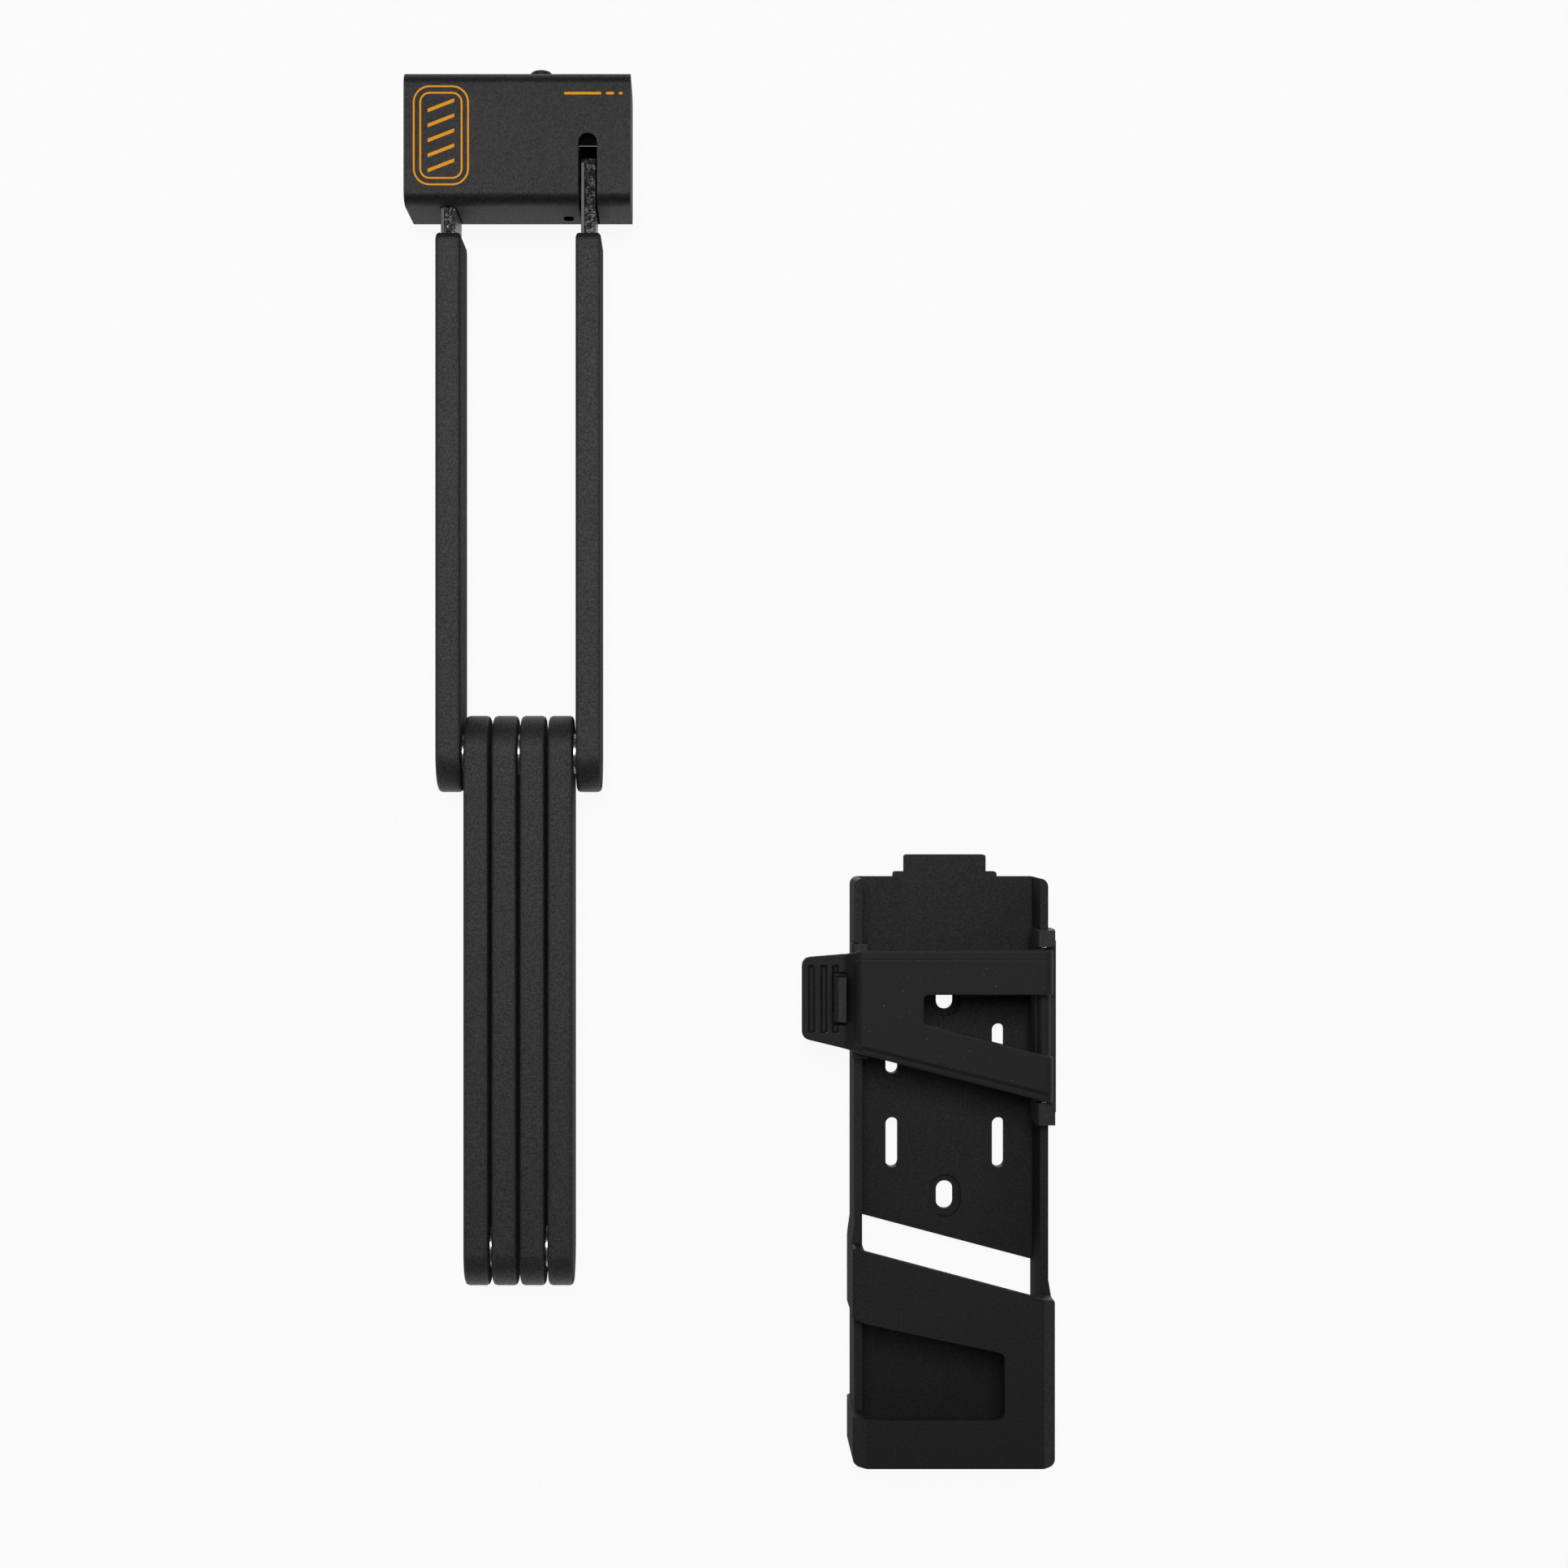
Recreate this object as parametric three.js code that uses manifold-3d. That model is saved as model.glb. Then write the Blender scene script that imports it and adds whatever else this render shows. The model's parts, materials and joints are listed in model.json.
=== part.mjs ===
// Folding bike lock with its carrying bracket, both lying on their backs on a table.
// The lock is open in a closed loop: four links hang in a pack, the two end links reach up
// to the housing, and the free tongue sits in the housing's slot.
// Units are millimetres, X to the right, Y towards the housing, Z up from the table.

import * as THREE from "three";
import { mergeVertices } from "three/addons/utils/BufferGeometryUtils.js";
import Module from "manifold-3d";

const wasm = await Module();
wasm.setup();

// Running clearances and facet counts
const clearance = 0.3;
const overrun = 5;
const weldTolerance = 1e-4;
const roundSteps = 18;
const cornerSteps = 4;
const bevelSteps = 2;

// Links: a steel bar in a plastic sleeve
const linkCount = 6;
const rivetSpacing = 155;
const barThickness = 4.5;
const barEndRadius = 10.1;
const sleeveSideWall = 1.35;
const sleeveRimWall = 1.6;
const sleeveEdgeRound = 1.2;
const sleeveMouthRound = 3;
const linkGap = 0.9;
const neckLength = 7.5;
const tongueInsert = 15.7;
const tongueCornerRound = 2;

// Rivets with flush heads and polished spacer rings
const rivetShankRadius = 4;
const rivetHeadRadius = 6;
const rivetHeadDepth = 1.4;
const rivetHeadRim = 0.3;
const spacerRadius = 6.35;

// Housing: an extruded aluminium tube round a cast core
const housingWidth = 70;
const housingHeight = 41;
const housingDepth = 30;
const housingWall = 3;
const housingEdgeRound = 4;
const housingInnerRound = 1.5;
const stowGap = 2.5;
const capThickness = 2;
const slotWidth = 5.7;
const slotRise = 21.9;
const slotCornerShare = 0.495;
const coreSlotRise = 18.5;
const drainWidth = 3.2;
const drainLength = 5.8;
const drainOffset = 15;
const drainSetback = 4;

// Bolt, its keeper and the fixed tongue's anchor
const boltRise = 7.8;
const boltRadius = 2.5;
const boltLength = 12.4;
const keeperRadius = 3.7;
const keeperRoomShare = 5 / 7;
const anchorRadius = 3;

// Lock cylinder
const barrelOffset = -7;
const barrelRadius = 6.5;
const barrelLength = 24;
const plugRadius = 4.5;
const plugFloor = 2;
const keywayWidth = 1.4;
const keywayLength = 6;
const keywayDepth = 3;
const plugSink = 0.4;

// Push button
const buttonOffset = 6.6;
const buttonRadius = 3.45;
const buttonHeight = 4;
const buttonTravel = 3;
const buttonEdgeRound = 0.6;
const flangeRadius = 5;
const flangeThickness = 2;
const springLength = 8;
const springWall = 0.9;

// Bracket: a tray with a pocket at its foot
const packSideRoom = 2.15;
const trayWall = 2.5;
const trayTop = 162;
const trayTopRound = 2.4;
const trayBackRound = 3;
const trayRimHeight = 21;
const backPlate = 4;
const packRoom = 0.8;
const tabHalfWidth = 13;
const tabRise = 7;
const stepHalfWidth = 16.5;
const stepRise = 1.6;
const pocketBulge = 1;
const pocketFlareRise = 5;
const pocketWall = 2.7;
const pocketFloor = 6.2;
const pocketChamfer = 4.1;
const pocketFootRound = 2;
const pocketEdgeRound = 1.2;
const bandTopLeft = 48.6;
const bandTopRight = 31.9;
const windowTopLeft = 26.4;
const windowTopRight = 12.9;
const windowFoot = -4.1;
const windowRight = 15.3;
const windowRound = 2.2;
const backWindowTopLeft = 54.4;
const backWindowTopRight = 39.7;
const backWindowHeight = 20;
const screwSlotSpacing = 64;
const screwSlotCentre = 92;
const screwSlotWidth = 5.4;
const screwSlotLength = 9;
const screwHeadWidth = 10;
const screwHeadLength = 13.6;
const screwHeadDepth = 2;
const tieSlotWidth = 4;
const tieSlotLength = 16;
const tieSlotOffset = 17;

// Strap and the two clips that hold it
const strapThickness = 2.4;
const strapPanelRaise = 0.5;
const strapPanelBorder = 2.8;
const strapLift = 1;
const strapBarrelRadius = 2.1;
const strapBarrelInset = 2.1;
const strapBarrelHeight = 21.5;
const strapPinRadius = 0.9;
const strapTop = 140.4;
const strapSpanLeft = 31.9;
const strapSpanRight = 46.9;
const strapEndRoom = 0.75;
const strapShoulderInset = 1.1;
const strapSlopeRun = 4.4;
const strapSlopeDrop = 5;
const strapBendRound = 2;
const upperLegWidth = 13.7;
const lowerLegWidth = 14.2;
const strapWindowLeft = -9.7;
const strapWindowRound = 1.6;
const tabLength = 16.6;
const tabTopDrop = 2.6;
const tabFootDrop = 27.6;
const tabCornerRound = 2.6;
const tabNeckLength = 3;
const tabNeckTopDrop = 1.5;
const tabNeckFootDrop = 30.9;
const gripDepth = 0.8;
const gripTopDrop = 5;
const gripFootDrop = 25.8;
const gripOuterOut = 14.6;
const gripInnerOut = 10.8;
const gripHookOut = 7.2;
const gripWidth = 1.9;
const hookWindowOut = 7;
const hookWindowWidth = 4.4;
const hookWindowTopDrop = 7.2;
const hookWindowFootDrop = 23.5;
const hookHeight = 3.4;
const hookMargin = 1.3;
const hookRib = 1.2;
const hookRibDepth = 0.45;
const hookClipRise = 1.3;
const hookClipDrop = 34.4;
const hookSillMargin = 1.2;
const hookClipSink = 1.2;
const clipLeg = 1.6;
const clipBridge = 1.7;
const clipLegDepth = 8;
const strapClipFootHeight = 6.8;
const strapClipHeadHeight = 5.1;
const strapClipEdgeRound = 1;

// Table layout
const layGap = 53;
const layDrop = 53;

// Sizes that follow from the ones above
const sleeveThickness = barThickness + 2 * (clearance + sleeveSideWall);
const linkPitch = sleeveThickness + linkGap;
const sleeveEndRadius = barEndRadius + clearance + sleeveRimWall;
const packHalfWidth = (linkPitch * (linkCount - 1) + sleeveThickness) / 2;
const housingFootReach = rivetSpacing + sleeveEndRadius + stowGap;
const endSleeveReach = housingFootReach - neckLength;
const tongueReach = housingFootReach + tongueInsert;
const housingTop = housingFootReach + housingHeight;
const housingHalfWidth = housingWidth / 2;
const keeperRoom = housingHalfWidth - capThickness - linkX(linkCount) - slotWidth / 2;
const keeperLength = keeperRoom * keeperRoomShare;
const anchorLength = slotWidth + 2 * keeperLength;
const plugLength = barrelLength - plugFloor;
const housingHalfDepth = housingDepth / 2;
const boltY = housingFootReach + boltRise;
const freeTongueX = linkX(linkCount);
const fixedTongueX = linkX(1);
const trayInnerHalf = packHalfWidth + packSideRoom;
const trayHalfWidth = trayInnerHalf + trayWall;
const pocketHalfWidth = trayHalfWidth + pocketBulge;
const pocketFoot = -sleeveEndRadius - packRoom - pocketFloor;
const packFront = sleeveEndRadius;
const packBack = -sleeveEndRadius - packRoom;
const trayBack = packBack - backPlate;
const trayRim = trayBack + trayRimHeight;
const pocketInnerFront = packFront + packRoom;
const pocketFront = pocketInnerFront + pocketWall;
const strapInner = packFront + strapLift;
const barrelX = trayHalfWidth - strapBarrelInset;
const barrelZ = packBack + strapBarrelHeight;
const strapShoulder = trayHalfWidth - strapShoulderInset;
const strapFootRight = strapTop - strapSpanRight;
const strapFootLeft = strapTop - strapSpanLeft;
const strapClipFoot = strapFootRight - strapEndRoom - strapClipFootHeight;
const strapClipTop = strapTop + strapEndRoom + strapClipHeadHeight;
const tabReach = trayHalfWidth + tabLength;
const hookClipTop = strapTop + hookClipRise;
const hookClipFoot = strapTop - hookClipDrop;
const hookWindowLeft = -trayHalfWidth - hookWindowOut;
const hookWindowRight = hookWindowLeft + hookWindowWidth;
const hookWindowFoot = strapTop - hookWindowFootDrop;
const hookWindowTop = strapTop - hookWindowTopDrop;

// Middle of link number n across the pack
function linkX(n) {
  return (n - (linkCount + 1) / 2) * linkPitch;
}

// Solids from closed geometries, and back again
function solidOf(geometry) {
  const bare = geometry.clone();
  bare.deleteAttribute("normal");
  bare.deleteAttribute("uv");
  const merged = mergeVertices(bare, weldTolerance);
  const triVerts = new Uint32Array(merged.index.array);
  const vertProperties = merged.attributes.position.array;
  return new wasm.Manifold(new wasm.Mesh({ numProp: 3, vertProperties, triVerts }));
}

function geometryOf(solid) {
  const mesh = solid.getMesh();
  const indexed = new THREE.BufferGeometry();
  indexed.setAttribute("position", new THREE.BufferAttribute(mesh.vertProperties, 3));
  indexed.setIndex(new THREE.BufferAttribute(mesh.triVerts, 1));
  const flat = indexed.toNonIndexed();
  flat.computeVertexNormals();
  return flat;
}

// Unit axes, and the turns that lay a flat outline's extrusion along each of them
const unitX = new THREE.Vector3(1, 0, 0);
const unitY = new THREE.Vector3(0, 1, 0);
const unitZ = new THREE.Vector3(0, 0, 1);
const alongX = new THREE.Matrix4().makeBasis(unitY, unitZ, unitX);
const alongY = new THREE.Matrix4().makeBasis(unitZ, unitX, unitY);
const alongZ = new THREE.Matrix4();

// Extrusion of an outline between two stations, with its edges rounded if asked
function prism(shape, turn, from, to, edge = 0) {
  const geometry = new THREE.ExtrudeGeometry(shape, {
    depth: to - from - 2 * edge,
    bevelEnabled: edge > 0,
    bevelThickness: edge,
    bevelSize: edge,
    bevelOffset: -edge,
    bevelSegments: bevelSteps,
    curveSegments: roundSteps / 2,
  });
  geometry.translate(0, 0, from + edge);
  geometry.applyMatrix4(turn);
  return solidOf(geometry);
}

// Closed outline through points [a, b, radius], with each corner rounded by its radius
function outline(points) {
  const placed = [];
  const count = points.length;
  points.forEach(([a, b, radius = 0], i) => {
    const corner = new THREE.Vector2(a, b);
    const before = points[(i + count - 1) % count];
    const after = points[(i + 1) % count];
    const back = new THREE.Vector2(before[0], before[1]).sub(corner).normalize();
    const ahead = new THREE.Vector2(after[0], after[1]).sub(corner).normalize();
    const half = back.angleTo(ahead) / 2;
    if (!radius) {
      placed.push(corner);
      return;
    }
    const reach = radius / Math.tan(half);
    const first = corner.clone().addScaledVector(back, reach);
    const middle = back.clone().add(ahead).normalize();
    const centre = corner.clone().addScaledVector(middle, radius / Math.sin(half));
    const start = first.clone().sub(centre);
    const side = Math.sign(ahead.cross(back));
    const sweep = side * (Math.PI - 2 * half);
    for (let step = 0; step <= cornerSteps; step++) {
      const arm = start.clone().rotateAround(new THREE.Vector2(), (sweep * step) / cornerSteps);
      placed.push(centre.clone().add(arm));
    }
  });
  return new THREE.Shape(placed);
}

function rectangle(lowA, highA, lowB, highB, radius = 0) {
  return outline([
    [lowA, lowB, radius],
    [highA, lowB, radius],
    [highA, highB, radius],
    [lowA, highB, radius],
  ]);
}

// Long outline with both ends half round, from one end's centre to the other's
function stadium(fromA, toA, radius) {
  const shape = new THREE.Shape();
  shape.absarc(fromA, 0, radius, Math.PI / 2, (3 * Math.PI) / 2);
  shape.absarc(toA, 0, radius, -Math.PI / 2, Math.PI / 2);
  return shape;
}

// Long outline with a half round end and a flat end
function paddle(roundA, flatA, radius, corner) {
  const shape = new THREE.Shape();
  shape.absarc(roundA, 0, radius, Math.PI / 2, (3 * Math.PI) / 2);
  const place = (side, step) => {
    const turn = (Math.PI / 2) * (step / cornerSteps);
    const rise = radius - corner + corner * Math.cos(turn);
    shape.lineTo(flatA - corner + corner * Math.sin(turn), side * rise);
  };
  for (let step = 0; step <= cornerSteps; step++) {
    place(-1, step);
  }
  for (let step = cornerSteps; step >= 0; step--) {
    place(1, step);
  }
  shape.lineTo(roundA, radius);
  return shape;
}

// Turned solid round an axis through [a, b], from profile points [radius, station]
function turned(profile, turn, a = 0, b = 0) {
  const points = profile.map(([radius, station]) => new THREE.Vector2(radius, station));
  const geometry = new THREE.LatheGeometry(points, roundSteps);
  geometry.rotateX(Math.PI / 2);
  geometry.translate(a, b, 0);
  geometry.applyMatrix4(turn);
  return solidOf(geometry);
}

function rod(turn, a, b, radius, from, to) {
  return turned([[0, from], [radius, from], [radius, to], [0, to]], turn, a, b);
}

function ring(turn, a, b, outer, inner, from, to) {
  const profile = [[inner, from], [outer, from], [outer, to], [inner, to], [inner, from]];
  return turned(profile, turn, a, b);
}

function box(lowX, highX, lowY, highY, lowZ, highZ) {
  return prism(rectangle(lowX, highX, lowY, highY), alongZ, lowZ, highZ);
}

// Materials
const finish = (color, roughness, metalness) =>
  new THREE.MeshStandardMaterial({ color, roughness, metalness });
const anodised = finish(0x3e3c3f, 0.45, 0.4);
const castCore = finish(0x1c1c1d, 0.6, 0.2);
const sleevePlastic = finish(0x373737, 0.65, 0);
const coatedSteel = finish(0x323238, 0.5, 0.5);
const brightSteel = finish(0xc8c8c6, 0.2, 1);
const trayPlastic = finish(0x242424, 0.6, 0);
const clipPlastic = finish(0x2d2d2c, 0.55, 0);
const strapRubber = finish(0x201e1f, 0.8, 0);

const lock = new THREE.Group();
const bracket = new THREE.Group();

function add(group, name, solid, material) {
  const mesh = new THREE.Mesh(geometryOf(solid), material);
  mesh.name = name;
  group.add(mesh);
}

// Height of joint n: odd joints are level with the lock's middle, even ones at the pack's foot
function jointY(n) {
  return n % 2 ? 0 : -rivetSpacing;
}

// Hole for the rivet that joins link n to the next, with room for both flush heads
function rivetProfile(n, grow) {
  const left = linkX(n) - barThickness / 2;
  const right = linkX(n + 1) + barThickness / 2;
  const head = rivetHeadRadius + grow;
  const shank = rivetShankRadius + grow;
  return [
    [0, left - grow],
    [head, left - grow],
    [head, left + rivetHeadRim],
    [shank, left + rivetHeadDepth],
    [shank, right - rivetHeadDepth],
    [head, right - rivetHeadRim],
    [head, right + grow],
    [0, right + grow],
  ];
}

function linkBar(n) {
  const left = linkX(n) - barThickness / 2;
  const right = linkX(n) + barThickness / 2;
  const isEnd = n === 1 || n === linkCount;
  const shape = isEnd
    ? paddle(0, tongueReach, barEndRadius, tongueCornerRound)
    : stadium(-rivetSpacing, 0, barEndRadius);
  let solid = prism(shape, alongX, left, right);
  if (n > 1) {
    solid = solid.subtract(turned(rivetProfile(n - 1, clearance), alongX, jointY(n - 1)));
  }
  if (n < linkCount) {
    solid = solid.subtract(turned(rivetProfile(n, clearance), alongX, jointY(n)));
  }
  if (isEnd) {
    const hole = n === 1 ? anchorRadius : boltRadius;
    solid = solid.subtract(rod(alongX, boltY, 0, hole + clearance, left - overrun, right + overrun));
  }
  return solid;
}

function linkSleeve(n) {
  const middle = linkX(n);
  const left = middle - sleeveThickness / 2;
  const right = middle + sleeveThickness / 2;
  const roomLeft = left + sleeveSideWall;
  const roomRight = right - sleeveSideWall;
  const roomRadius = barEndRadius + clearance;
  const isEnd = n === 1 || n === linkCount;
  const outer = isEnd
    ? paddle(0, endSleeveReach, sleeveEndRadius, sleeveMouthRound)
    : stadium(-rivetSpacing, 0, sleeveEndRadius);
  const room = isEnd
    ? paddle(0, endSleeveReach + overrun, roomRadius, tongueCornerRound)
    : stadium(-rivetSpacing, 0, roomRadius);
  let solid = prism(outer, alongX, left, right, sleeveEdgeRound);
  solid = solid.subtract(prism(room, alongX, roomLeft, roomRight));
  const port = spacerRadius + clearance;
  if (n > 1) {
    solid = solid.subtract(rod(alongX, jointY(n - 1), 0, port, left - overrun, middle));
  }
  if (n < linkCount) {
    solid = solid.subtract(rod(alongX, jointY(n), 0, port, middle, right + overrun));
  }
  return solid;
}

function rivet(n) {
  return turned(rivetProfile(n, 0), alongX, jointY(n));
}

function spacer(n) {
  const left = linkX(n) + barThickness / 2 + clearance;
  const right = linkX(n + 1) - barThickness / 2 - clearance;
  return ring(alongX, jointY(n), 0, spacerRadius, rivetShankRadius + clearance, left, right);
}

for (let n = 1; n <= linkCount; n++) {
  add(lock, `link_${n}_cover`, linkSleeve(n), sleevePlastic);
  add(lock, `link_${n}_bar`, linkBar(n), coatedSteel);
}
for (let n = 1; n < linkCount; n++) {
  add(lock, `rivet_${n}_${n + 1}`, rivet(n), brightSteel);
  add(lock, `spacer_${n}_${n + 1}`, spacer(n), brightSteel);
}

// The slot through the front and foot of the housing that lets the free tongue swing out
function tongueSlot(rise, roundTop) {
  const foot = housingFootReach - overrun;
  const top = housingFootReach + rise;
  const corner = roundTop ? slotWidth * slotCornerShare : 0;
  const left = freeTongueX - slotWidth / 2;
  const right = freeTongueX + slotWidth / 2;
  const shape = outline([
    [left, foot],
    [right, foot],
    [right, top, corner],
    [left, top, corner],
  ]);
  return prism(shape, alongZ, -barEndRadius - clearance, housingHalfDepth + overrun);
}

// The closed seat for the fixed tongue
function fixedTongueSeat() {
  const half = barThickness / 2 + clearance;
  const deep = barEndRadius + clearance;
  const top = tongueReach + clearance;
  return box(fixedTongueX - half, fixedTongueX + half, housingFootReach - overrun, top, -deep, deep);
}

function housingShell() {
  const inner = housingWall;
  const outerShape = rectangle(
    housingFootReach, housingTop, -housingHalfDepth, housingHalfDepth, housingEdgeRound,
  );
  const innerShape = rectangle(
    housingFootReach + inner, housingTop - inner,
    inner - housingHalfDepth, housingHalfDepth - inner, housingInnerRound,
  );
  let solid = prism(outerShape, alongX, -housingHalfWidth, housingHalfWidth);
  solid = solid.subtract(
    prism(innerShape, alongX, -housingHalfWidth - overrun, housingHalfWidth + overrun),
  );
  solid = solid.subtract(tongueSlot(slotRise, true));
  solid = solid.subtract(fixedTongueSeat());
  const roof = housingTop - housingWall - overrun;
  const above = housingTop + overrun;
  solid = solid.subtract(rod(alongY, 0, barrelOffset, barrelRadius + clearance, roof, above));
  solid = solid.subtract(rod(alongY, 0, buttonOffset, buttonRadius + clearance, roof, above));
  const drain = stadium(-(drainLength - drainWidth) / 2, (drainLength - drainWidth) / 2, drainWidth / 2);
  const drainFoot = housingFootReach - overrun;
  const drainTop = housingFootReach + housingWall + overrun;
  const drainCut = prism(drain, alongY, drainFoot, drainTop);
  return solid.subtract(drainCut.translate([drainOffset, 0, -drainSetback]));
}

function endCap(side) {
  const inset = housingWall + clearance;
  const shape = rectangle(
    housingFootReach + inset, housingTop - inset,
    inset - housingHalfDepth, housingHalfDepth - inset, housingInnerRound,
  );
  const near = side * (housingHalfWidth - capThickness);
  const far = side * housingHalfWidth;
  return prism(shape, alongX, Math.min(near, far), Math.max(near, far));
}

function coreBlock() {
  const inset = housingWall + clearance;
  const end = housingHalfWidth - capThickness - clearance;
  const shape = rectangle(
    housingFootReach + inset, housingTop - inset,
    inset - housingHalfDepth, housingHalfDepth - inset, housingInnerRound,
  );
  const above = housingTop + overrun;
  const floorY = housingTop - barrelLength;
  let solid = prism(shape, alongX, -end, end);
  solid = solid.subtract(tongueSlot(coreSlotRise, false));
  solid = solid.subtract(fixedTongueSeat());
  solid = solid.subtract(
    rod(alongY, 0, barrelOffset, barrelRadius + clearance, floorY - clearance, above),
  );
  solid = solid.subtract(
    rod(alongY, 0, buttonOffset, flangeRadius + clearance, springSeat() - clearance, above),
  );
  const stemFoot = springSeat() - stemLength();
  solid = solid.subtract(
    rod(alongY, 0, buttonOffset, buttonRadius - springWall + clearance, stemFoot - clearance, above),
  );
  const boltBack = boltTip() - boltLength;
  const bushLeft = freeTongueX + slotWidth / 2;
  solid = solid.subtract(
    rod(alongX, boltY, 0, boltRadius + clearance, boltBack - clearance, freeTongueX),
  );
  solid = solid.subtract(
    rod(alongX, boltY, 0, keeperRadius + clearance, freeTongueX, bushLeft + keeperLength + clearance),
  );
  const anchorMiddle = fixedTongueX;
  const anchorHalf = anchorLength / 2 + clearance;
  return solid.subtract(
    rod(alongX, boltY, 0, anchorRadius + clearance, anchorMiddle - anchorHalf, anchorMiddle + anchorHalf),
  );
}

// Heights along the button's bore, from the spring's seat up to the finger face
function flangeTop() {
  return housingTop - housingWall - clearance;
}

function springSeat() {
  return flangeTop() - flangeThickness - springLength - 2 * clearance;
}

function stemLength() {
  return buttonTravel + clearance;
}

// The bolt's nose when drawn back, just behind the slot's wall
function boltTip() {
  return freeTongueX - slotWidth / 2 - clearance;
}

function pushButton() {
  const top = housingTop + buttonHeight;
  const stem = buttonRadius - springWall;
  const flangeFoot = flangeTop() - flangeThickness;
  return turned([
    [0, springSeat()],
    [stem - clearance, springSeat()],
    [stem - clearance, flangeFoot],
    [flangeRadius, flangeFoot],
    [flangeRadius, flangeTop()],
    [buttonRadius, flangeTop()],
    [buttonRadius, top - buttonEdgeRound],
    [buttonRadius - buttonEdgeRound, top],
    [0, top],
  ], alongY, 0, buttonOffset);
}

function buttonSpring() {
  const foot = springSeat();
  const outer = flangeRadius - clearance;
  return ring(alongY, 0, buttonOffset, outer, outer - springWall, foot, foot + springLength);
}

function keyPlug() {
  const top = housingTop - plugSink;
  const slot = box(
    barrelOffset - keywayWidth / 2, barrelOffset + keywayWidth / 2,
    top - keywayDepth, top + overrun, -keywayLength / 2, keywayLength / 2,
  );
  return rod(alongY, 0, barrelOffset, plugRadius, top - plugLength, top).subtract(slot);
}

function cylinderBarrel() {
  const foot = housingTop - barrelLength;
  const pit = housingTop - plugSink - plugLength - clearance;
  const bore = rod(alongY, 0, barrelOffset, plugRadius + clearance, pit, housingTop + overrun);
  return rod(alongY, 0, barrelOffset, barrelRadius, foot, housingTop).subtract(bore);
}

add(lock, "housing_shell", housingShell(), anodised);
add(lock, "end_cap_left", endCap(-1), anodised);
add(lock, "end_cap_right", endCap(1), anodised);
add(lock, "core_block", coreBlock(), castCore);
add(lock, "cylinder_barrel", cylinderBarrel(), coatedSteel);
add(lock, "key_plug", keyPlug(), brightSteel);
add(lock, "push_button", pushButton(), anodised);
add(lock, "button_spring", buttonSpring(), brightSteel);
add(lock, "bolt", rod(alongX, boltY, 0, boltRadius, boltTip() - boltLength, boltTip()), brightSteel);
const keeperLeft = freeTongueX + slotWidth / 2;
add(
  lock, "keeper_bush",
  ring(
    alongX, boltY, 0, keeperRadius, boltRadius + clearance, keeperLeft, keeperLeft + keeperLength,
  ),
  brightSteel,
);
add(
  lock, "anchor_pin",
  rod(
    alongX, boltY, 0, anchorRadius, fixedTongueX - anchorLength / 2, fixedTongueX + anchorLength / 2,
  ),
  brightSteel,
);

// Straight line through two heights at the bracket's sides, read at any X
function slant(leftY, rightY, half, x) {
  return leftY + ((rightY - leftY) * (x + half)) / (2 * half);
}

function pocketSleeve() {
  const back = trayBack;
  const half = pocketHalfWidth;
  const section = outline([
    [back, -half, trayBackRound],
    [back, half, trayBackRound],
    [pocketFront - pocketChamfer, half, pocketEdgeRound],
    [pocketFront, half - pocketChamfer, pocketEdgeRound],
    [pocketFront, pocketChamfer - half, pocketEdgeRound],
    [pocketFront - pocketChamfer, -half, pocketEdgeRound],
  ].reverse());
  const face = outline([
    [-half, pocketFoot, pocketFootRound],
    [half, pocketFoot, pocketFootRound],
    [half, bandTopRight, pocketEdgeRound],
    [-half, bandTopLeft, pocketEdgeRound],
  ]);
  const across = (x) => slant(windowTopLeft, windowTopRight, half, x);
  const view = outline([
    [-half - overrun, windowFoot],
    [windowRight, windowFoot, windowRound],
    [windowRight, across(windowRight), windowRound],
    [-half - overrun, across(-half - overrun)],
  ]);
  let solid = prism(section, alongY, pocketFoot, bandTopLeft);
  solid = solid.intersect(prism(face, alongZ, back - overrun, pocketFront + overrun));
  return solid.subtract(prism(view, alongZ, back - overrun, pocketFront + overrun));
}

function trayTub() {
  const half = trayHalfWidth;
  const wide = pocketHalfWidth;
  const section = outline([
    [trayRim, -wide],
    [trayRim, wide],
    [trayBack, wide, trayBackRound],
    [trayBack, -wide, trayBackRound],
  ]);
  const face = outline([
    [-half, pocketFoot + pocketFootRound],
    [half, pocketFoot + pocketFootRound],
    [half, bandTopRight - pocketFlareRise],
    [wide, bandTopRight - pocketFlareRise],
    [wide, bandTopRight - pocketEdgeRound],
    [half, bandTopRight + pocketFlareRise],
    [half, trayTop, trayTopRound],
    [-half, trayTop, trayTopRound],
    [-half, bandTopLeft + pocketFlareRise],
    [-wide, bandTopLeft - pocketEdgeRound],
    [-wide, bandTopLeft - pocketFlareRise],
    [-half, bandTopLeft - pocketFlareRise],
  ]);
  const tub = prism(section, alongY, pocketFoot, trayTop + overrun);
  return tub.intersect(prism(face, alongZ, trayBack - overrun, trayRim + overrun));
}

function backTab() {
  const shape = outline([
    [-stepHalfWidth, trayTop - stepHalfWidth],
    [stepHalfWidth, trayTop - stepHalfWidth],
    [stepHalfWidth, trayTop + stepRise, stepRise / 2],
    [tabHalfWidth, trayTop + stepRise],
    [tabHalfWidth, trayTop + tabRise, stepRise / 2],
    [-tabHalfWidth, trayTop + tabRise, stepRise / 2],
    [-tabHalfWidth, trayTop + stepRise],
    [-stepHalfWidth, trayTop + stepRise, stepRise / 2],
  ]);
  return prism(shape, alongZ, trayBack, packBack);
}

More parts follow.
